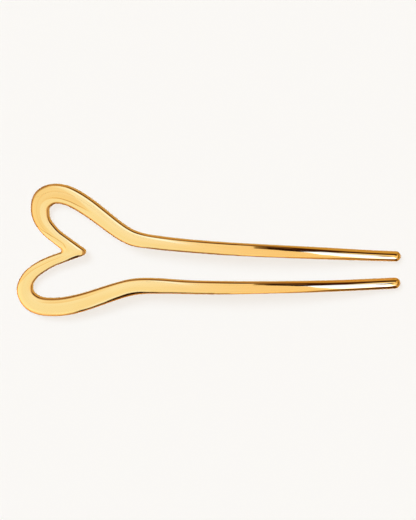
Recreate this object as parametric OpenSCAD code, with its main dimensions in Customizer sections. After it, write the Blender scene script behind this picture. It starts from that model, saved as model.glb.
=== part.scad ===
// Hair fork: one band of polished gold-coloured metal, bent into an open heart with two long prongs.
// The heart is flat, the prongs arch over the surface that the fork lies on, and their ends are round.
// In the plan, x runs from the heart's end towards the tips and y across the fork, in millimetres.

/* [Band] */
// Thickness of the flat band round the heart
heart_t = 2.8; // [2.2:0.1:3.2]
// Thickness of the prongs at their tips
tip_t = 3.2; // [2.8:0.1:3.6]
// Radius of the band's softened edges
edge_r = 0.5; // [0.3:0.05:0.8]

/* [Heart corner] */
// Distance from the heart's end to the outer corner between the lobes
notch_x = 15.2; // [14.5:0.1:16]
// Radius of the outer corner
notch_r = 0.8; // [0.5:0.1:1.2]
// Distance from the heart's end to the inner point that faces the prongs
point_x = 24.3; // [23.5:0.1:25]
// Radius of the inner point
point_r = 1.3; // [0.8:0.1:1.6]

/* [Side profile] */
// Rise of the heart from its end towards the prongs, in degrees
heart_slope = 6; // [4:0.5:8]
// Distance from the heart's end to where the arch of the prongs begins
arch_start = 42; // [38:1:50]
// Sideways slope, down towards the upper prong, with which both lobes touch the surface, in degrees
lean = 0.9; // [0.5:0.1:1.2]

/* [Prong ends] */
// Distance from the heart's end to where the prongs' flat faces begin to narrow
round_start = 80; // [70:1:90]
// Distance from the heart's end to where the prongs are fully round
round_end = 114; // [105:1:120]

/* [Hidden] */

// Columns of the two band tables
X = 0;
Y = 1;
HEADING = 2;
WIDTH = 3;

// Middle of the band, the way it heads and its width, from beside the inner point to the prong's tip
upper_band = [
    // x, y, heading, width
    [ 13.0,   3.6,  146.5, 4.4],  // beside the inner point
    [  8.6,   7.4,  131.0, 5.1],
    [  6.4,  13.0,   92.0, 6.2],  // end of the lobe
    [  8.0,  17.3,   44.0, 7.3],
    [ 12.8,  19.0,    0.0, 6.7],  // top of the lobe
    [ 20.1,  16.8,  -27.0, 6.3],
    [ 28.4,  11.6,  -35.0, 5.7],  // leg
    [ 34.6,   7.5,  -29.5, 5.4],
    [ 39.4,   5.4,  -15.0, 5.2],  // neck
    [ 45.0,   4.7,   -4.0, 4.6],
    [ 60.0,   4.1,   -1.4, 4.3],  // prong
    [100.0,   3.8,   -0.6, 4.1],
    [128.6,   3.3,   -1.0, 3.6]   // start of the round tip
];
lower_band = [
    // x, y, heading, width
    [ 12.7,  -3.8, -155.5, 3.7],  // beside the inner point
    [  6.3,  -7.6, -143.0, 4.4],
    [  2.8, -11.4, -119.0, 4.8],
    [  1.9, -15.8,  -80.0, 5.6],  // end of the lobe
    [  5.0, -19.8,  -29.0, 6.2],
    [ 10.0, -20.8,    0.0, 6.2],  // bottom of the lobe
    [ 17.7, -19.7,   15.0, 6.3],
    [ 27.0, -16.3,   23.0, 6.0],  // leg
    [ 33.9, -13.4,   21.5, 5.7],
    [ 38.6, -11.7,   16.0, 5.6],
    [ 44.2, -10.7,    5.0, 5.3],  // neck
    [ 60.0, -10.1,    2.0, 4.5],
    [ 90.0,  -8.5,    3.2, 4.0],  // prong
    [128.9,  -6.0,    4.0, 3.9]   // start of the round tip
];

// Rings follow each other at most this far apart, in millimetres and in degrees of bend
ring_gap = 4;
ring_bend = 6;
// Steps round a corner of the heart, round a prong's tip and round an edge of the section
corner_steps = 6;
tip_steps = 5;
edge_steps = 4;
// Share of a round section that stays flat, so that no two points of a ring meet
least_flat = 0.04;
// Last ring of a tip, as an angle round its nose
tip_close = 82;

function unit(angle) = [cos(angle), sin(angle)];
function left_of(way) = [-way.y, way.x];
function plan(row) = [row[X], row[Y]];
function ease(u) = u * u * (3 - 2 * u);
function mix(a, b, u) = a + (b - a) * u;
function reversed(list) = [for (i = [len(list) - 1 : -1 : 0]) list[i]];

// The inner corners lie on one line across the fork
corner_y = -0.8;
// Where the upper lobe and the upper tip touch the surface
lobe_seat = plan(upper_band[2]) - [upper_band[2][WIDTH] / 2, 0];
tip_seat = plan(upper_band[len(upper_band) - 1]);
// How fast the arch falls, from the heights at which those two places lie
fall = tan(heart_slope) * (tip_seat.x - lobe_seat.x) - tan(lean) * (tip_seat.y - lobe_seat.y);
arch = (fall + (heart_t - tip_t) / 2) / pow(tip_seat.x - arch_start, 2);

// Height and upward normal of the band's middle sheet above a place in the plan
function sheet_z(p) = tan(heart_slope) * p.x - arch * pow(max(0, p.x - arch_start), 2) - tan(lean) * p.y;
function sheet_up(p) =
    let (up = [2 * arch * max(0, p.x - arch_start) - tan(heart_slope), tan(lean), 1])
    up / norm(up);

// Share of the way from a flat section to a round one, and the thickness there
function roundness(x) = ease(min(1, max(0, (x - round_start) / (round_end - round_start))));
function thickness(x) = mix(heart_t, tip_t, roundness(x));

// Outer and inner edge of the band at a place, where the outer edge is on the given side of its way
function edge_pair(middle, way, width, side) =
    [middle + side * width / 2 * left_of(way), middle - side * width / 2 * left_of(way)];

// Edge pair at u, from 0 to 1, along the smooth curve between two rows
function pair_between(a, b, u, side) =
    let (
        reach = norm(plan(b) - plan(a)) / pow(cos((b[HEADING] - a[HEADING]) / 4), 2),
        start_pull = reach * unit(a[HEADING]),
        end_pull = reach * unit(b[HEADING]),
        middle = mix(plan(a), plan(b), ease(u))
            + u * pow(1 - u, 2) * start_pull - u * u * (1 - u) * end_pull,
        way = 6 * u * (1 - u) * (plan(b) - plan(a))
            + (1 - u) * (1 - 3 * u) * start_pull + u * (3 * u - 2) * end_pull
    )
    edge_pair(middle, way / norm(way), mix(a[WIDTH], b[WIDTH], ease(u)), side);

function steps_between(a, b) =
    ceil(max(norm(plan(b) - plan(a)) / ring_gap, abs(b[HEADING] - a[HEADING]) / ring_bend));

// Edge pairs from beside the inner point to the start of the round tip
function band_pairs(rows, side) = [
    for (i = [0 : len(rows) - 2])
        let (steps = steps_between(rows[i], rows[i + 1]))
        for (k = [0 : steps - 1]) pair_between(rows[i], rows[i + 1], k / steps, side)
];

// Edge pairs round a tip's nose, each shorter than the last
nose_turns = [for (k = [0 : tip_steps]) tip_close * k / tip_steps];
function tip_pairs(row, side) = [
    for (turn = nose_turns)
        let (way = unit(row[HEADING]))
        edge_pair(plan(row) + row[WIDTH] / 2 * sin(turn) * way, way, row[WIDTH] * cos(turn), side)
];

// Arc that softens the corner between two points
function soft_corner(from, corner, to, r) =
    let (
        a = (from - corner) / norm(from - corner),
        b = (to - corner) / norm(to - corner),
        half = acos(a * b) / 2,
        centre = corner + (a + b) / norm(a + b) * r / sin(half),
        start = corner + a * r / tan(half) - centre,
        first = atan2(start.y, start.x),
        sweep = (180 - 2 * half) * sign(a.x * b.y - a.y * b.x)
    )
    [for (k = [0 : corner_steps]) centre + r * unit(first - sweep * k / corner_steps)];

upper_pairs = concat(band_pairs(upper_band, 1), tip_pairs(upper_band[len(upper_band) - 1], 1));
lower_pairs = concat(band_pairs(lower_band, -1), tip_pairs(lower_band[len(lower_band) - 1], -1));
notch_arc = soft_corner(upper_pairs[0][0], [notch_x, corner_y], lower_pairs[0][0], notch_r);
point_arc = soft_corner(upper_pairs[0][1], [point_x, corner_y], lower_pairs[0][1], point_r);
corner_pairs = [for (k = [0 : corner_steps]) [notch_arc[k], point_arc[k]]];
pairs = concat(reversed(upper_pairs), corner_pairs, lower_pairs);

// How much of the thickness each ring keeps: all of it except round the tips' noses
nose_shares = [for (turn = nose_turns) cos(turn)];
full_rings = len(pairs) - 2 * len(nose_shares);
shares = concat(reversed(nose_shares), [for (i = [1 : full_rings]) 1], nose_shares);

// Ring of points round the band's section at an edge pair, starting on the outer edge
function ring(pair, share) =
    let (
        middle = (pair[0] + pair[1]) / 2,
        out = (pair[0] - pair[1]) / 2,
        half_t = thickness(middle.x) / 2 * share,
        round_share = roundness(middle.x),
        soft_w = mix(min(1, edge_r / norm(out)), 1, round_share) * (1 - least_flat),
        soft_t = mix(min(1, edge_r / half_t), 1, round_share) * (1 - least_flat)
    )
    [
        for (quarter = [0 : 3], k = [0 : edge_steps])
            let (
                corner = [quarter == 0 || quarter == 3 ? 1 : -1, quarter < 2 ? 1 : -1],
                turn = unit(90 * quarter + 90 * k / edge_steps),
                across = corner.x * (1 - soft_w) + soft_w * turn.x,
                above = corner.y * (1 - soft_t) + soft_t * turn.y,
                place = middle + across * out
            )
            [place.x, place.y, sheet_z(place)] + above * half_t * sheet_up(place)
    ];

ring_size = 4 * (edge_steps + 1);
points = [for (i = [0 : len(pairs) - 1]) each ring(pairs[i], shares[i])];
low = [min([for (p = points) p.x]), min([for (p = points) p.y]), min([for (p = points) p.z])];
high = [max([for (p = points) p.x]), max([for (p = points) p.y]), max([for (p = points) p.z])];
// The origin is under the middle of the fork, on the surface
origin = [(low.x + high.x) / 2, (low.y + high.y) / 2, low.z];

function at(i, k) = i * ring_size + k % ring_size;
side_faces = [
    for (i = [0 : len(pairs) - 2], k = [0 : ring_size - 1])
        each [[at(i, k), at(i, k + 1), at(i + 1, k + 1)], [at(i, k), at(i + 1, k + 1), at(i + 1, k)]]
];
end_faces = [
    [for (k = [ring_size - 1 : -1 : 0]) at(0, k)],
    [for (k = [0 : ring_size - 1]) at(len(pairs) - 1, k)]
];

module hair_fork() {
    color("#F2CB7B")
        translate(-origin)
            polyhedron(points, concat(side_faces, end_faces), convexity = 6);
}

hair_fork();
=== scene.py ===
import math

import bmesh
import bpy
from mathutils import Matrix, Vector


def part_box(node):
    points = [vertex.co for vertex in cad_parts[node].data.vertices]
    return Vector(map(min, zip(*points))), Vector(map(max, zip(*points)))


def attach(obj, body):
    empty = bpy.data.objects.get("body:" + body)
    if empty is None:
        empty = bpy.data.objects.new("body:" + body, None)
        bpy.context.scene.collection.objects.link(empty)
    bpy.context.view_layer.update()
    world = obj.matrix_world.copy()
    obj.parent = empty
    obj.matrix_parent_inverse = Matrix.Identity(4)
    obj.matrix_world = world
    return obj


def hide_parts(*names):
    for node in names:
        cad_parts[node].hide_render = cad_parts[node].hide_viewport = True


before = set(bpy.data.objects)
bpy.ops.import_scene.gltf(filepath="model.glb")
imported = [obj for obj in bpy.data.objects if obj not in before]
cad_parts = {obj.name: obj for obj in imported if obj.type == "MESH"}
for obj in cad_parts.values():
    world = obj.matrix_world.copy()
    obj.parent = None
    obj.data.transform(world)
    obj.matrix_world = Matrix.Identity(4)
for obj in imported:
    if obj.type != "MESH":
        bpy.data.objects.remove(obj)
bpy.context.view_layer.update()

MM = 0.001

# Sizes of the band, as the frame has them: the thickness at the heart and at the tips, the radius of its
# edges, the heart's outer notch and inner point with their radii, the slope of the heart, where the
# arch of the prongs starts, how much the fork leans, and between which x the band turns round
HEART_T = 2.8 * MM
TIP_T = 3.2 * MM
EDGE_R = 0.5 * MM
NOTCH = Vector((15.2, -0.8)) * MM
NOTCH_R = 0.8 * MM
POINT = Vector((24.3, -0.8)) * MM
POINT_R = 1.3 * MM
HEART_SLOPE = math.tan(math.radians(6))
ARCH_START = 42 * MM
LEAN = math.tan(math.radians(0.9))
ROUND_START = 80 * MM
ROUND_END = 114 * MM

# Middle of the band in the plan, the way it heads and its width, in millimetres and degrees, from
# beside the heart's corner to the tip
UPPER_BAND = (
    # x, y, heading, width
    (13.0, 3.6, 146.5, 4.4),
    (8.6, 7.4, 131.0, 5.1),
    (6.4, 13.0, 92.0, 6.2),
    (8.0, 17.3, 44.0, 7.3),
    (12.8, 19.0, 0.0, 6.7),
    (20.1, 16.8, -27.0, 6.3),
    (28.4, 11.6, -35.0, 5.7),
    (34.6, 7.5, -29.5, 5.4),
    (39.4, 5.4, -15.0, 5.2),
    (45.0, 4.7, -4.0, 4.6),
    (60.0, 4.1, -1.4, 4.3),
    (100.0, 3.8, -0.6, 4.1),
    (128.6, 3.3, -1.0, 3.6),
)
LOWER_BAND = (
    # x, y, heading, width
    (12.7, -3.8, -155.5, 3.7),
    (6.3, -7.6, -143.0, 4.4),
    (2.8, -11.4, -119.0, 4.8),
    (1.9, -15.8, -80.0, 5.6),
    (5.0, -19.8, -29.0, 6.2),
    (10.0, -20.8, 0.0, 6.2),
    (17.7, -19.7, 15.0, 6.3),
    (27.0, -16.3, 23.0, 6.0),
    (33.9, -13.4, 21.5, 5.7),
    (38.6, -11.7, 16.0, 5.6),
    (44.2, -10.7, 5.0, 5.3),
    (60.0, -10.1, 2.0, 4.5),
    (90.0, -8.5, 3.2, 4.0),
    (128.9, -6.0, 4.0, 3.9),
)

# Spacing of the sections: the longest gap, the greatest bend in degrees, the steps round the heart's
# corner and round a tip, and how far round a tip closes, in degrees
SECTION_GAP = 4 * MM
SECTION_BEND = 6
CORNER_STEPS = 6
TIP_STEPS = 5
TIP_CLOSE = 82

# Shape of a section: the cuts in its round edges and in its flats, the share that is flat at least,
# and the slope of a crowned flat at its rim
EDGE_SEGMENTS = 5
FLAT_CUTS = 3
LEAST_FLAT = 0.02
CROWN_SLOPE = math.tan(math.radians(4.3))

# Steps in which a flat is raised: the share of it that rises, and the share of the crown still missing
CROWN_STEPS = ((0.75, 0.25), (0.25, 0))

# A point this near to the flat's height counts as on the flat
ON_FLAT = 0.9999

# Outer front edge of the lower leg, polished down at the neck: where along x, how deep, and from which
# share of the half thickness and of the flat's half width on
WORN_FROM = 24 * MM
WORN_TO = 50 * MM
WORN_DEPTH = 0.03 * MM
WORN_ABOVE = 0.6
WORN_PAST = 0.9

# Subdivisions that smooth the joined sections
SMOOTHING_LEVELS = 2

# Height of the photograph and focal length in its pixels, and the camera's place and roll
FRAME_H = 520
FOCAL_PX = 1900
SENSOR = 36
TO_CAMERA = Vector((0.05, 0.20, 0.97852)).normalized()
CAMERA_AT = Vector((0.03240, 0.12968, 0.63945))
CAMERA_ROLL = math.radians(3.07)
NEAR_CLIP = 0.01
FAR_CLIP = 20


# Shader tools

def set_stops(stops, rows):
    """Gives a new ramp its stops, each a place and a colour. The first row is at 0 and the last at 1."""
    first, *between, last = rows
    for stop, (at, colour) in ((stops[0], first), (stops[1], last)):
        stop.position = at
        stop.color = (*colour, 1)
    for at, colour in between:
        stops.new(at).color = (*colour, 1)


class Wire:
    """A shader socket. Arithmetic on it adds Math nodes to its tree."""

    def __init__(self, socket):
        self.socket = socket

    @classmethod
    def add(cls, tree, kind, settings=None, inputs=None, output=0):
        """Adds a node, gives it its settings and then its sockets' values or links, and wraps an output."""
        node = tree.nodes.new(kind)
        for name, value in (settings or {}).items():
            if name == "stops":
                set_stops(node.color_ramp.elements, value)
            else:
                setattr(node, name, value)
        for name, value in (inputs or {}).items():
            if isinstance(value, Wire):
                tree.links.new(value.socket, node.inputs[name])
            else:
                node.inputs[name].default_value = value
        return cls(node.outputs[output]) if node.outputs else node

    def math(self, operation, *values):
        settings = {"operation": operation}
        return Wire.add(self.socket.id_data, "ShaderNodeMath", settings, dict(enumerate(values)))

    def __add__(self, other):
        return self.math("ADD", self, other)

    def __radd__(self, other):
        return self.math("ADD", other, self)

    def __sub__(self, other):
        return self.math("SUBTRACT", self, other)

    def __rsub__(self, other):
        return self.math("SUBTRACT", other, self)

    def __mul__(self, other):
        return self.math("MULTIPLY", self, other)

    def __rmul__(self, other):
        return self.math("MULTIPLY", other, self)

    def __truediv__(self, other):
        return self.math("DIVIDE", self, other)

    def __abs__(self):
        return self.math("ABSOLUTE", self)

    def clamp(self):
        return self.math("MINIMUM", self.math("MAXIMUM", self, 0), 1)


def rising(value, start, end):
    """0 up to the start, 1 from the end on and even between them. The end may lie below the start."""
    return ((value - start) / (end - start)).clamp()


def blend(tree, share, a, b):
    """Colour between a and b, as far along as the share says."""
    return Wire.add(tree, "ShaderNodeMix", {"data_type": "RGBA"}, {0: share, 6: a, 7: b}, output=2)


def new_material(name):
    material = bpy.data.materials.new(name)
    material.use_nodes = True
    material.node_tree.nodes.clear()
    return material


def finish_material(tree, shader):
    Wire.add(tree, "ShaderNodeOutputMaterial", {}, {"Surface": shader})


# Materials

# Tones of the gold, from the palest to the deepest; the deepest are reached where dark edge shade is
# painted
GOLD_TONES = (
    (-0.3, (1.0, 0.65, 0.235)),
    (0.0, (0.99, 0.60, 0.20)),
    (0.4, (0.985, 0.56, 0.165)),
    (1.0, (0.93, 0.43, 0.095)),
    (2.0, (0.30, 0.11, 0.018)),
)

# Tone of the plain gold, and what the noise, the painted reflection streaks and the painted dark shade on
# the two rounded front edges add to it
PLAIN_TONE = 0.02
BANDS_TONE = 0.35
LINES_TONE = 0.3
STREAK_PAINTED_REFLECTION = 1.15
OUTER_EDGE_PAINTED_SHADE = 1.0
INNER_EDGE_PAINTED_SHADE = 1.6

# Where the painted dark shade on the rounded front edges starts and is full, as a share of the half width
# and of the half thickness
PAINTED_SHADE_ACROSS = (0.792, 0.872)
PAINTED_SHADE_RISE = (0.696, 0.816)

# Noise in the polish: changes in a metre along the band, changes in half its width, and detail
BANDS = (90, 2.2, 1.0)
LINES = (70, 7.0, 2.0)
HAIRLINES = (160, 34.0, 1.0)
WAVES_SCALE = 170.0

# Roughness, how far the lines change it, depth of the bump and what the lines and zones add to its waves
POLISH = 0.043
POLISH_SPREAD = 0.04
RELIEF = 0.012 * MM
LINES_RELIEF = 0.08
HAIRLINES_RELIEF = 0.01
STREAK_RELIEF = -0.2

# Zones of painted reflection streaks: a deeper orange tone is painted on the faces, and the bump is dented
# a little there. Each row has the way along the band in millimetres from the heart's inner corner, the
# zone's inner and outer border across the band, from -1 to 1, how deep its painted tone is, and how deep
# the fine lines are along the two borders
UPPER_LOBE_STREAKS = (
    (-43, -0.22, -0.18, 0, 0, 0),
    (-40, -0.30, -0.02, 0.40, 0.60, 0),
    (-36, -0.41, 0.22, 0.52, 1.0, 0),
    (-32, -0.45, 0.48, 0.52, 1.0, 0),
    (-28, -0.41, 0.75, 0.52, 0.8, 0),
    (-25, -0.28, 0.95, 0.50, 0.3, 0),
    (-21, -0.10, 1.0, 0.48, 0, 0),
    (-15.5, -0.07, 1.0, 0.50, 0, 0.2),
    (-13.5, -0.10, 0.72, 0.46, 0, 0.9),
    (-10.5, -0.13, 0.35, 0.38, 0, 1.0),
    (-7.5, -0.10, 0.10, 0.25, 0, 1.0),
    (-4.5, -0.05, 0.08, 0.10, 0, 0.9),
    (-2, 0.10, 0.30, 0.10, 0, 0.8),
    (-0.5, 0.40, 0.50, 0, 0, 0.3),
    (1, 0.30, 0.50, 0, 0, 0),
)
LOWER_LOBE_STREAKS = (
    (0.5, 0.30, 0.60, 0, 0.2, 0),
    (3, 0.20, 0.60, 0.12, 0.5, 0),
    (6, 0.14, 0.50, 0.25, 0.7, 0),
    (12, 0.18, 0.50, 0.28, 0.8, 0),
    (15, 0.28, 0.60, 0.32, 0.8, 0),
    (18, 0.38, 0.95, 0.38, 0.6, 0),
    (20, 0.50, 1.0, 0.45, 0.5, 0),
    (21.5, 0.70, 1.0, 0.45, 0.4, 0),
    (23, 0.98, 1.0, 0.2, 0, 0),
    (24, 1.0, 1.0, 0, 0, 0),
)
LOWER_LEG_STREAKS = (
    (29, -0.65, -0.55, 0, 0, 0),
    (31, -0.72, -0.50, 0.25, 0, 0.2),
    (34, -0.75, -0.51, 0.45, 0, 0.4),
    (44, -0.75, -0.53, 0.45, 0, 0.4),
    (50, -0.78, -0.54, 0.42, 0, 0.4),
    (56, -0.80, -0.60, 0.30, 0, 0.2),
    (62, -0.85, -0.65, 0, 0, 0),
)
STREAK_ZONES = (UPPER_LOBE_STREAKS, LOWER_LOBE_STREAKS, LOWER_LEG_STREAKS)

# How softly a zone ends at its inner and outer border, and how far a line's tone reaches, in half widths
INNER_SOFTNESS = 0.06
OUTER_SOFTNESS = 0.12
LINE_REACH = 0.10


def streak_zone(tree, along, across, rows):
    """How deep the painted reflection streak is in one zone: even between its borders, deepest along the
    lines on them.
    """
    first = rows[0][0]
    length = rows[-1][0] - first

    def along_band(values):
        """Three values between 0 and 1 that change along the band as the rows have them."""
        stops = [((row[0] - first) / length, value) for row, value in zip(rows, values)]
        ramp = Wire.add(
            tree,
            "ShaderNodeValToRGB",
            {"stops": stops},
            {0: (along / MM - first) / length},
        )
        return [Wire.add(tree, "ShaderNodeSeparateColor", {}, {0: ramp}, output=i) for i in range(3)]

    borders = [(inner / 2 + 0.5, outer / 2 + 0.5, depth) for _, inner, outer, depth, _, _ in rows]
    line_depths = [(inner_line, outer_line, 0) for _, _, _, _, inner_line, outer_line in rows]
    inner, outer, depth = along_band(borders)
    inner_line, outer_line, _ = along_band(line_depths)
    past_inner = across - (inner * 2 - 1)
    past_outer = across - (outer * 2 - 1)
    tone = depth * rising(past_inner, -INNER_SOFTNESS / 2, INNER_SOFTNESS / 2)
    tone = tone * rising(past_outer, OUTER_SOFTNESS / 2, -OUTER_SOFTNESS / 2)
    for past, line in ((past_inner, inner_line), (past_outer, outer_line)):
        tone = tone + line * rising(abs(past), LINE_REACH, 0)
    return tone


def gold_material():
    """Polished gold with lengthwise polishing lines and uneven tone, with reflection streaks and dark edge
    shade painted into its colour.
    """
    material = new_material("polished_gold")
    tree = material.node_tree
    along = Wire.add(tree, "ShaderNodeAttribute", {"attribute_name": "along"}, output="Fac")
    across = Wire.add(tree, "ShaderNodeAttribute", {"attribute_name": "across"}, output="Fac")
    rise = Wire.add(tree, "ShaderNodeAttribute", {"attribute_name": "rise"}, output="Fac")
    spot = Wire.add(tree, "ShaderNodeTexCoord", output="Object")

    def lengthwise(along_scale, across_scale, detail):
        """Noise stretched along the band."""
        way = Wire.add(
            tree,
            "ShaderNodeCombineXYZ",
            {},
            {0: along * along_scale, 1: across * across_scale, 2: rise * across_scale},
        )
        return Wire.add(
            tree,
            "ShaderNodeTexNoise",
            {"noise_dimensions": "3D"},
            {"Vector": way, "Scale": 1.0, "Detail": detail, "Roughness": 0.5},
            output=0,
        )

    bands = lengthwise(*BANDS)
    lines = lengthwise(*LINES)
    hairlines = lengthwise(*HAIRLINES)
    waves = Wire.add(
        tree,
        "ShaderNodeTexNoise",
        {},
        {"Vector": spot, "Scale": WAVES_SCALE, "Detail": 1.0, "Roughness": 0.5},
        output=0,
    )
    # Painted reflection streaks: a deeper orange tone on the faces, which also dents the bump a little
    streak_depth = sum(streak_zone(tree, along, across, rows) for rows in STREAK_ZONES)
    # Painted dark shade on the rounded front edges, in place of the dark reflections they show; deeper on
    # the inner edges
    edge_shade_mask = rising(abs(across), *PAINTED_SHADE_ACROSS) * rising(rise, *PAINTED_SHADE_RISE)
    outer_side = across.math("GREATER_THAN", across, 0.0)
    painted_edge_shade = edge_shade_mask * mix(INNER_EDGE_PAINTED_SHADE, OUTER_EDGE_PAINTED_SHADE, outer_side)
    noise_tone = (bands - 0.5) * BANDS_TONE + (lines - 0.5) * LINES_TONE
    tone = streak_depth * STREAK_PAINTED_REFLECTION + painted_edge_shade + noise_tone + PLAIN_TONE
    low = GOLD_TONES[0][0]
    high = GOLD_TONES[-1][0]
    colour = Wire.add(
        tree,
        "ShaderNodeValToRGB",
        {"stops": [((at - low) / (high - low), shade) for at, shade in GOLD_TONES]},
        {0: (tone - low) / (high - low)},
    )
    rough = POLISH + POLISH_SPREAD * (mix(lines, hairlines, 0.5) - 0.5)
    relief = waves + lines * LINES_RELIEF + hairlines * HAIRLINES_RELIEF + streak_depth * STREAK_RELIEF
    bump = Wire.add(tree, "ShaderNodeBump", {}, {"Strength": 1.0, "Distance": RELIEF, "Height": relief})
    shader = Wire.add(
        tree,
        "ShaderNodeBsdfPrincipled",
        {},
        {"Base Color": colour, "Metallic": 1.0, "Roughness": rough, "Normal": bump},
    )
    finish_material(tree, shader)
    return material


# Colour of the ground and of what is behind it, and the ground's size
PALE = (0.956, 0.93, 0.896, 1)
GROUND_SIZE = 8


def ground_material():
    material = new_material("pale_ground")
    tree = material.node_tree
    shader = Wire.add(tree, "ShaderNodeBsdfDiffuse", {}, {"Color": PALE, "Roughness": 0.0})
    finish_material(tree, shader)
    return material


# The band's plan, as pairs of an outer and an inner edge point

def unit(degrees):
    turn = math.radians(degrees)
    return Vector((math.cos(turn), math.sin(turn)))


def left_of(way):
    return Vector((-way.y, way.x))


def place(row):
    return Vector(row[:2]) * MM


def ease(u):
    return u * u * (3 - 2 * u)


def mix(a, b, u):
    return a + (b - a) * u


def edge_pair(middle, way, width, side):
    half = left_of(way) * (side * width / 2)
    return middle + half, middle - half


def pair_between(a, b, u, side):
    """Edge pair at u, from 0 to 1, along the smooth curve from one row to the next by their headings."""
    start_heading, start_width = a[2:]
    end_heading, end_width = b[2:]
    step = place(b) - place(a)
    # An arc pulls harder at its ends the more it turns
    reach = step.length / math.cos(math.radians(end_heading - start_heading) / 4) ** 2
    start_pull = unit(start_heading) * reach
    end_pull = unit(end_heading) * reach
    middle = place(a) + step * ease(u) + start_pull * (u * (1 - u) ** 2) - end_pull * (u * u * (1 - u))
    way = step * (6 * u * (1 - u)) + start_pull * ((1 - u) * (1 - 3 * u)) + end_pull * (u * (3 * u - 2))
    return edge_pair(middle, way.normalized(), mix(start_width, end_width, ease(u)) * MM, side)


def leg_sections(rows, side):
    """Sections from the heart's corner to a tip: an edge pair and the share of the thickness left there."""
    sections = []
    for a, b in zip(rows, rows[1:]):
        step = (place(b) - place(a)).length
        steps = math.ceil(max(step / SECTION_GAP, abs(b[2] - a[2]) / SECTION_BEND))
        for k in range(steps):
            sections.append((*pair_between(a, b, k / steps, side), 1))
    tip = place(rows[-1])
    heading, width = rows[-1][2:]
    way = unit(heading)
    for k in range(TIP_STEPS + 1):
        turn = math.radians(TIP_CLOSE * k / TIP_STEPS)
        nose = tip + way * (width * MM / 2 * math.sin(turn))
        sections.append((*edge_pair(nose, way, width * MM * math.cos(turn), side), math.cos(turn)))
    return sections


def soft_corner(start, corner, end, radius):
    """Arc of the given radius that softens the corner between two points."""
    a = (start - corner).normalized()
    b = (end - corner).normalized()
    half = math.acos(a.dot(b)) / 2
    centre = corner + (a + b).normalized() * (radius / math.sin(half))
    spoke = corner + a * (radius / math.tan(half)) - centre
    first = math.degrees(math.atan2(spoke.y, spoke.x))
    sweep = math.copysign(180 - 2 * math.degrees(half), a.x * b.y - a.y * b.x)
    return [centre + unit(first - sweep * k / CORNER_STEPS) * radius for k in range(CORNER_STEPS + 1)]


def band_sections():
    """Sections of the band, from the upper tip round the heart to the lower tip, and where its corner is
    among them."""
    upper = leg_sections(UPPER_BAND, 1)
    lower = leg_sections(LOWER_BAND, -1)
    notch = soft_corner(upper[0][0], NOTCH, lower[0][0], NOTCH_R)
    point = soft_corner(upper[0][1], POINT, lower[0][1], POINT_R)
    corner = [(outer, inner, 1) for outer, inner in zip(notch, point)]
    return upper[::-1] + corner + lower, len(upper) + len(corner) // 2


# The sheet that the band is bent on

def arch():
    """How fast the arch falls, so that the upper lobe and both ends of the fork touch the surface."""
    x, y, _, width = UPPER_BAND[2]
    lobe_x = (x - width / 2) * MM
    lobe_y = y * MM
    tip = place(UPPER_BAND[-1])
    fall = HEART_SLOPE * (tip.x - lobe_x) - LEAN * (tip.y - lobe_y)
    return (fall + (HEART_T - TIP_T) / 2) / (tip.x - ARCH_START) ** 2


ARCH = arch()


def sheet_height(p):
    return HEART_SLOPE * p.x - ARCH * max(0, p.x - ARCH_START) ** 2 - LEAN * p.y


def sheet_slope(p):
    """Rise of the sheet for each metre along x and along y."""
    return Vector((HEART_SLOPE - 2 * ARCH * max(0, p.x - ARCH_START), -LEAN))


def roundness(x):
    return ease(min(1, max(0, (x - ROUND_START) / (ROUND_END - ROUND_START))))


# Modelling tools

def wear(middle):
    """How far the outer front edge of the lower leg is polished down where the leg bends at the neck."""
    u = (middle.x - WORN_FROM) / (WORN_TO - WORN_FROM)
    if middle.y > NOTCH.y or not 0 < u < 1:
        return 0
    return WORN_DEPTH * ease(1 - abs(2 * u - 1))


def turn_selection(angle, axis):
    """Turns what is selected about the origin, counter-clockwise seen from the axis's end."""
    bpy.ops.transform.rotate(value=-angle, orient_axis=axis, center_override=(0, 0, 0))


def select_only(mesh, parts):
    bpy.ops.mesh.select_all(action="DESELECT")
    for part in parts:
        part.select_set(True)
    mesh.select_flush(True)


def crown_flats(fork, half_t, half_flat, crown):
    """Cuts a section's two flats up and raises them in the middle, so that they are slightly domed."""
    low_t = half_t - crown
    mesh = bmesh.from_edit_mesh(fork.data)
    flats = [e for e in mesh.edges if not e.hide and all(abs(v.co.y) > low_t * ON_FLAT for v in e.verts)]
    select_only(mesh, flats)
    bpy.ops.mesh.subdivide(number_cuts=FLAT_CUTS)
    height = low_t
    for reach, drop in CROWN_STEPS:
        mesh = bmesh.from_edit_mesh(fork.data)
        raised = [
            v
            for v in mesh.verts
            if not v.hide and abs(v.co.y) > low_t * ON_FLAT and abs(v.co.x) < half_flat * reach
        ]
        select_only(mesh, raised)
        new_height = half_t - crown * drop
        bpy.ops.transform.resize(value=(1, new_height / height, 1), center_override=(0, 0, 0))
        height = new_height


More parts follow.
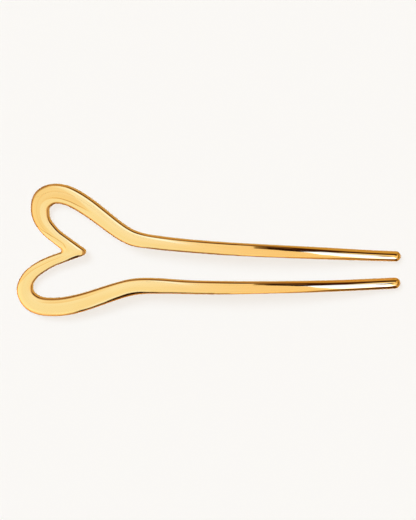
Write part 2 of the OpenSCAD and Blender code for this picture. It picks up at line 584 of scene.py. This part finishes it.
def add_section(fork, outer, inner, share, along):
    """Adds one section of the band: a plane with rounded corners, set upright across the band."""
    middle = (outer + inner) / 2
    out = outer - inner
    half_w = out.length / 2
    rounding = roundness(middle.x)
    half_t = mix(HEART_T, TIP_T, rounding) / 2 * share
    soft_w = mix(min(1, EDGE_R / half_w), 1, rounding) * (1 - LEAST_FLAT) * half_w
    # A flat domed like a parabola rises by half its rim's slope times its half width
    crown = CROWN_SLOPE * (half_w - soft_w) / 2
    low_t = half_t - crown
    soft_t = mix(min(1, EDGE_R / low_t), 1, rounding) * (1 - LEAST_FLAT) * low_t
    stretch = soft_t / soft_w
    # The bevel rounds by equal amounts both ways, so the plane is stretched to its thickness after it
    bpy.ops.mesh.primitive_plane_add(size=2)
    bpy.ops.transform.resize(value=(half_w, low_t / stretch, 1), center_override=(0, 0, 0))
    bpy.ops.mesh.bevel(
        offset=soft_w,
        offset_type="OFFSET",
        segments=EDGE_SEGMENTS,
        affect="VERTICES",
        clamp_overlap=False,
    )
    bpy.ops.transform.resize(value=(1, stretch, 1), center_override=(0, 0, 0))
    bpy.ops.mesh.delete(type="ONLY_FACE")
    crown_flats(fork, half_t, half_w - soft_w, crown)
    worn_depth = wear(middle)
    if worn_depth:
        mesh = bmesh.from_edit_mesh(fork.data)
        worn = [
            v
            for v in mesh.verts
            if not v.hide and v.co.y > half_t * WORN_ABOVE and v.co.x > (half_w - soft_w) * WORN_PAST
        ]
        select_only(mesh, worn)
        bpy.ops.transform.translate(value=(0, -worn_depth, 0))
    bpy.ops.mesh.select_all(action="SELECT")
    mesh = bmesh.from_edit_mesh(fork.data)
    layers = [mesh.verts.layers.float[name] for name in ("along", "across", "rise")]
    for v in mesh.verts:
        if v.select:
            for layer, value in zip(layers, (along, v.co.x / half_w, v.co.y / half_t)):
                v[layer] = value
    slope = sheet_slope(middle)
    across = out.normalized()
    turn_selection(math.pi / 2 + math.atan(slope.dot(left_of(across))), "X")
    turn_selection(-math.atan(slope.dot(across)), "Y")
    turn_selection(math.atan2(across.y, across.x), "Z")
    bpy.ops.transform.translate(value=(*middle, sheet_height(middle)))
    bpy.ops.mesh.hide()


def loft_fork():
    """The fork: sections joined in a row, closed at the tips and smoothed."""
    sections, corner = band_sections()
    middles = [(outer + inner) / 2 for outer, inner, share in sections]
    runs = [0]
    for a, b in zip(middles, middles[1:]):
        runs.append(runs[-1] + (b - a).length)
    bpy.ops.object.select_all(action="DESELECT")
    bpy.ops.mesh.primitive_plane_add(size=1)
    fork = bpy.context.object
    fork.name = "polished_fork"
    fork.data.name = "polished_fork"
    bpy.ops.object.mode_set(mode="EDIT")
    bpy.ops.mesh.delete(type="VERT")
    mesh = bmesh.from_edit_mesh(fork.data)
    for name in ("along", "across", "rise"):
        mesh.verts.layers.float.new(name)
    for (outer, inner, share), run in zip(sections, runs):
        add_section(fork, outer, inner, share, run - runs[corner])
    bpy.ops.mesh.reveal()
    bpy.ops.mesh.select_all(action="SELECT")
    bpy.ops.mesh.bridge_edge_loops()
    bpy.ops.mesh.select_all(action="SELECT")
    bpy.ops.mesh.fill_holes(sides=0)
    bpy.ops.mesh.select_all(action="SELECT")
    bpy.ops.mesh.normals_make_consistent(inside=False)
    bpy.ops.object.mode_set(mode="OBJECT")
    smooth = fork.modifiers.new("smooth", "SUBSURF")
    smooth.levels = SMOOTHING_LEVELS
    smooth.render_levels = SMOOTHING_LEVELS
    bpy.ops.object.modifier_apply(modifier=smooth.name)
    bpy.ops.object.shade_smooth()
    return fork


def set_in_frame(piece, node):
    """Moves a piece's mesh so that it lies where the frame has the node."""
    low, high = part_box(node)
    own = [Vector(f(v.co[i] for v in piece.data.vertices) for i in range(3)) for f in (min, max)]
    shift = (low + high - own[0] - own[1]) / 2
    shift.z = low.z - own[0].z
    bpy.ops.object.mode_set(mode="EDIT")
    bpy.ops.mesh.select_all(action="SELECT")
    bpy.ops.transform.translate(value=shift)
    bpy.ops.object.mode_set(mode="OBJECT")


fork = loft_fork()
set_in_frame(fork, "hair_fork")
fork.data.materials.append(gold_material())
# The pale ground takes no gold-coloured light from it
fork.visible_diffuse = False
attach(fork, "root")
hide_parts("hair_fork")


# Camera

def place_camera():
    data = bpy.data.cameras.new("camera")
    data.sensor_width = SENSOR
    data.lens = FOCAL_PX * SENSOR / FRAME_H
    data.clip_start = NEAR_CLIP
    data.clip_end = FAR_CLIP
    camera = bpy.data.objects.new("camera", data)
    bpy.context.scene.collection.objects.link(camera)
    level_right = (Vector((1, 0, 0)) - TO_CAMERA * TO_CAMERA.x).normalized()
    level_up = TO_CAMERA.cross(level_right)
    right = level_right * math.cos(CAMERA_ROLL) + level_up * math.sin(CAMERA_ROLL)
    up = level_up * math.cos(CAMERA_ROLL) - level_right * math.sin(CAMERA_ROLL)
    turn = Matrix((right, up, TO_CAMERA)).transposed().to_4x4()
    camera.matrix_world = Matrix.Translation(CAMERA_AT) @ turn
    bpy.context.scene.camera = camera


place_camera()


# Studio

# Height of the first panel, and how much higher each next one hangs
PANEL_HEIGHT = 1.5
PANEL_STEP = 0.002

# Radiances that several panels share. Gold looks paler the more blue they hold, up to white
WHITENING = (0.98, 1.62, 4.6)
HEART_GLOW = (0.947, 1.19, 1.48)
NECK_GLOW = (0.948, 1.136, 1.346)
PRONG_GLOW = (0.952, 0.945, 0.87)
SIDE_GLOW = (0.93, 1.05, 1.10)
FRONT_GLOW = (0.88, 0.90, 0.80)

# Soft panels over the fork, whose light adds up where they overlap: the middle's x and y, width and
# depth in metres, turn in degrees, how far the light fades in from the rim, as a share of the panel,
# the radiance at the left end and at the right one, and between which shares of the width it changes
PANELS = {
    # For the faces of the heart and of the prongs' near half
    "fill_panel": dict(
        at=(-0.40, -0.33), size=(1.80, 0.40),
        left=HEART_GLOW, right=PRONG_GLOW, change=(0.378, 0.805),
    ),
    "rim_panel": dict(
        at=(-0.455, -0.50), size=(0.09, 0.045), softness=0.3,
        left=(0.05, 0.25, 0.9),
    ),
    "side_panel": dict(
        at=(0.20, -0.575), size=(0.60, 0.09),
        left=(0.951, 1.02, 1.06), right=PRONG_GLOW, change=(0, 0.42),
    ),
    "glow_panel": dict(
        at=(-0.42, -0.11), size=(0.70, 0.42), softness=0.4,
        left=(0.02, 0.10, 0.4),
    ),
    "back_panel": dict(
        at=(-0.875, 0.02), size=(0.85, 0.30),
        left=HEART_GLOW, right=NECK_GLOW, change=(0.8, 1),
    ),
    "bridge_panel": dict(
        at=(-0.195, -0.04), size=(0.51, 0.18),
        left=NECK_GLOW, right=(0.951, 0.98, 0.957),
    ),
    "key_panel": dict(
        at=(-0.47, -0.003), size=(0.62, 0.10), turn=-30, softness=0.3,
        left=(0.08, 0.45, 1.7),
    ),
    # For the heart's outer edges
    "left_panel": dict(
        at=(-1.95, -1.53), size=(2.90, 2.00),
        left=(0.82, 0.78, 0.62), right=(0.93, 1.13, 1.36), change=(0.7, 1),
    ),
    # For the white wedges along the prongs, and for their tips
    "top_panel": dict(
        at=(0.497, 0.097), size=(0.34, 0.64), turn=-17, softness=0.12,
        left=WHITENING,
    ),
    "crest_panel": dict(
        at=(0.70, 0.62), size=(0.40, 0.50), turn=-17, softness=0.15,
        left=(0.95, 1.05, 1.00), right=(0.90, 0.90, 0.75),
    ),
    "end_panel": dict(
        at=(1.12, -0.10), size=(0.84, 1.10), softness=0.10,
        left=(0.90, 0.90, 0.80), right=(0.70, 0.62, 0.42),
    ),
    "tip_panel": dict(
        at=(1.12, -1.20), size=(0.60, 0.70), turn=14.5, softness=0.12,
        left=(0.95, 1.45, 3.6), right=(0.80, 0.95, 1.3), change=(0.2, 1),
    ),
    "strip_panel": dict(
        at=(0.70, -0.955), size=(0.36, 1.90), turn=14.5, softness=0.02,
        left=WHITENING,
    ),
    # For the edges on the lower leg's side
    "front_panel": dict(
        at=(0.49, -1.51), size=(1.02, 1.78),
        left=FRONT_GLOW,
    ),
    "low_panel": dict(
        at=(0.50, -3.20), size=(0.70, 1.60), softness=0.10,
        left=(0.75, 0.68, 0.50),
    ),
    "join_panel": dict(
        at=(-0.26, -1.80), size=(0.48, 1.40),
        left=SIDE_GLOW, right=FRONT_GLOW,
    ),
    # For the faces as they are seen from other sides
    "corner_panel": dict(
        at=(1.62, 1.30), size=(0.70, 1.10), softness=0.10,
        left=(0.70, 0.62, 0.40), right=(0.80, 0.75, 0.55),
    ),
    "far_panel": dict(
        at=(-0.75, 1.50), size=(1.10, 1.10), softness=0.10,
        left=SIDE_GLOW, right=(0.75, 0.70, 0.50),
    ),
    # For the start of the prongs' dark line and the edge beside it
    "taper_panel": dict(
        at=(0.09, 0.05), size=(0.06, 0.36),
        left=(0.30, 0.26, 0.17), right=(0.04, 0.02, 0.0),
    ),
    "ridge_panel": dict(
        at=(0.14, 0.82), size=(0.32, 0.80), softness=0.05,
        left=(0.55, 0.50, 0.38), right=(0.08, 0.05, 0.02),
    ),
}

# Light on the ground: the way it comes from, its colour, strength and spread in degrees, and
# whether it casts shadows
GROUND_LIGHTS = {
    "shadow_light": dict(
        way=(-0.45, 0.62, 1.0), colour=(0.60, 0.80, 1.00), strength=0.80, spread=24, casts_shadows=True,
    ),
    "even_light": dict(
        way=(0, 0, 1), colour=(1.0, 0.963, 0.925), strength=2.78, spread=20, casts_shadows=False,
    ),
}


def fade(u, share):
    """1 on a panel, falling to 0 at both of its ends over a share of its length."""
    to_end = u.math("MINIMUM", u, 1 - u)
    return to_end.math("MINIMUM", to_end / share, 1)


def panel(name, height, at, size, left, right=None, turn=0, softness=0, change=(0, 1)):
    """Level panel for the gold to reflect, all of one colour if no right end is given. It doesn't light
    the ground."""
    width, depth = size
    light = bpy.data.lights.new(name, "AREA")
    light.shape = "RECTANGLE"
    light.size = width
    light.size_y = depth
    light.energy = math.pi * width * depth
    lamp = bpy.data.objects.new(name, light)
    lamp.location = (*at, height)
    lamp.rotation_euler = (0, 0, math.radians(turn))
    lamp.visible_camera = False
    lamp.visible_diffuse = False
    bpy.context.scene.collection.objects.link(lamp)
    light.use_nodes = True
    tree = light.node_tree
    tree.nodes.clear()
    spot = Wire.add(tree, "ShaderNodeNewGeometry", output="Parametric")
    u = Wire.add(tree, "ShaderNodeSeparateXYZ", {}, {0: spot}, output="X")
    v = Wire.add(tree, "ShaderNodeSeparateXYZ", {}, {0: spot}, output="Y")
    colour = blend(tree, rising(u, *change), (*left, 1), (*(right or left), 1))
    strength = fade(u, softness) * fade(v, softness) if softness else 1
    glow = Wire.add(tree, "ShaderNodeEmission", {}, {"Color": colour, "Strength": strength})
    Wire.add(tree, "ShaderNodeOutputLight", {}, {"Surface": glow})


def ground_light(name, way, colour, strength, spread, casts_shadows):
    """Even light on the ground, which the gold doesn't reflect."""
    light = bpy.data.lights.new(name, "SUN")
    light.color = colour
    light.energy = strength
    light.angle = math.radians(spread)
    light.use_shadow = casts_shadows
    lamp = bpy.data.objects.new(name, light)
    lamp.rotation_mode = "QUATERNION"
    lamp.rotation_quaternion = Vector(way).to_track_quat("Z", "Y")
    lamp.visible_glossy = False
    bpy.context.scene.collection.objects.link(lamp)


for i, (name, sizes) in enumerate(PANELS.items()):
    panel(name, PANEL_HEIGHT + PANEL_STEP * i, **sizes)
for name, sizes in GROUND_LIGHTS.items():
    ground_light(name, **sizes)


def lay_ground():
    bpy.ops.object.select_all(action="DESELECT")
    bpy.ops.mesh.primitive_plane_add(size=GROUND_SIZE)
    ground = bpy.context.object
    ground.name = "ground"
    ground.visible_glossy = False
    ground.data.materials.append(ground_material())


lay_ground()

# What the gold sees where no panel is: straight down and straight up, and all round at level height
# and higher up, by the direction in degrees, where 0 is the tips' side and 90 the upper lobe's side
SURROUND_DOWN = (0.62, 0.47, 0.20, 1)
SURROUND_UP = (0.03, 0.01, 0.001, 1)
SURROUND_LEVEL = (
    (-180, (0.66, 0.46, 0.16)),
    (-90, (0.62, 0.45, 0.14)),
    (-84, (0.60, 0.42, 0.13)),
    (-78, (0.26, 0.15, 0.04)),
    (-72, (0.06, 0.02, 0.002)),
    (-62, (0.24, 0.13, 0.03)),
    (-48, (0.66, 0.50, 0.22)),
    (-10, (0.68, 0.53, 0.24)),
    (25, (0.55, 0.39, 0.14)),
    (48, (0.30, 0.16, 0.04)),
    (60, (0.58, 0.42, 0.14)),
    (78, (0.62, 0.46, 0.18)),
    (95, (0.56, 0.41, 0.15)),
    (116, (0.32, 0.19, 0.055)),
    (135, (0.36, 0.22, 0.07)),
    (160, (0.52, 0.37, 0.13)),
    (180, (0.66, 0.46, 0.16)),
)
SURROUND_HIGH = (
    (-180, (0.66, 0.52, 0.28)),
    (-150, (0.55, 0.40, 0.16)),
    (-128, (0.30, 0.18, 0.05)),
    (-112, (0.14, 0.055, 0.008)),
    (-58, (0.12, 0.05, 0.01)),
    (-40, (0.52, 0.38, 0.15)),
    (-12, (0.68, 0.53, 0.25)),
    (20, (0.64, 0.49, 0.21)),
    (37, (0.56, 0.41, 0.15)),
    (47, (0.035, 0.010, 0.001)),
    (90, (0.08, 0.02, 0.001)),
    (99, (0.40, 0.26, 0.08)),
    (112, (0.60, 0.45, 0.18)),
    (150, (0.64, 0.50, 0.22)),
    (180, (0.66, 0.52, 0.28)),
)

# Between which heights one of them gives way to the next, from -1, straight down, to 1, straight up
DOWN_TO_LEVEL = (-0.9, -0.3)
LEVEL_TO_HIGH = (0.30, 0.55)
HIGH_TO_UP = (0.78, 0.90)

# Dark stretch low on the tips' side: its colour, the direction of its middle, how far it goes to each
# side, how much of that it fades over, and between which heights it sets in below and ends above
SHADE = (0.10, 0.04, 0.006, 1)
SHADE_MIDDLE = -6
SHADE_REACH = 34
SHADE_FADE = 10
SHADE_BELOW = (0.06, 0.14)
SHADE_ABOVE = (0.46, 0.36)


def share_of_turn(degrees):
    """A direction as a share of the whole turn, from behind the heart round to there again."""
    return degrees / 360 + 0.5


def set_surround():
    """Brown and gold all round for the reflections, and pale behind the ground where it is looked at."""
    world = bpy.data.worlds.new("surround")
    world.use_nodes = True
    world.cycles.sampling_method = "NONE"
    world.cycles_visibility.diffuse = False
    tree = world.node_tree
    tree.nodes.clear()
    way = Wire.add(tree, "ShaderNodeTexCoord", output="Generated")
    x, y, z = (Wire.add(tree, "ShaderNodeSeparateXYZ", {}, {0: way}, output=i) for i in range(3))
    turn = share_of_turn(y.math("ARCTAN2", y, x) * math.degrees(1))
    level, high = (
        Wire.add(
            tree,
            "ShaderNodeValToRGB",
            {"stops": [(share_of_turn(direction), colour) for direction, colour in stops]},
            {0: turn},
        )
        for stops in (SURROUND_LEVEL, SURROUND_HIGH)
    )
    colour = blend(tree, rising(z, *DOWN_TO_LEVEL), SURROUND_DOWN, level)
    colour = blend(tree, rising(z, *LEVEL_TO_HIGH), colour, high)
    off_middle = abs(turn - share_of_turn(SHADE_MIDDLE)) * 360
    shaded = rising(off_middle, SHADE_REACH, SHADE_REACH - SHADE_FADE)
    shaded = shaded * rising(z, *SHADE_BELOW) * rising(z, *SHADE_ABOVE)
    colour = blend(tree, shaded, colour, SHADE)
    colour = blend(tree, rising(z, *HIGH_TO_UP), colour, SURROUND_UP)
    looked_at = Wire.add(tree, "ShaderNodeLightPath", output="Is Camera Ray")
    colour = blend(tree, looked_at, colour, PALE)
    glow = Wire.add(tree, "ShaderNodeBackground", {}, {"Color": colour})
    Wire.add(tree, "ShaderNodeOutputWorld", {}, {"Surface": glow})
    bpy.context.scene.world = world


set_surround()
bpy.context.scene.view_settings.view_transform = "Standard"
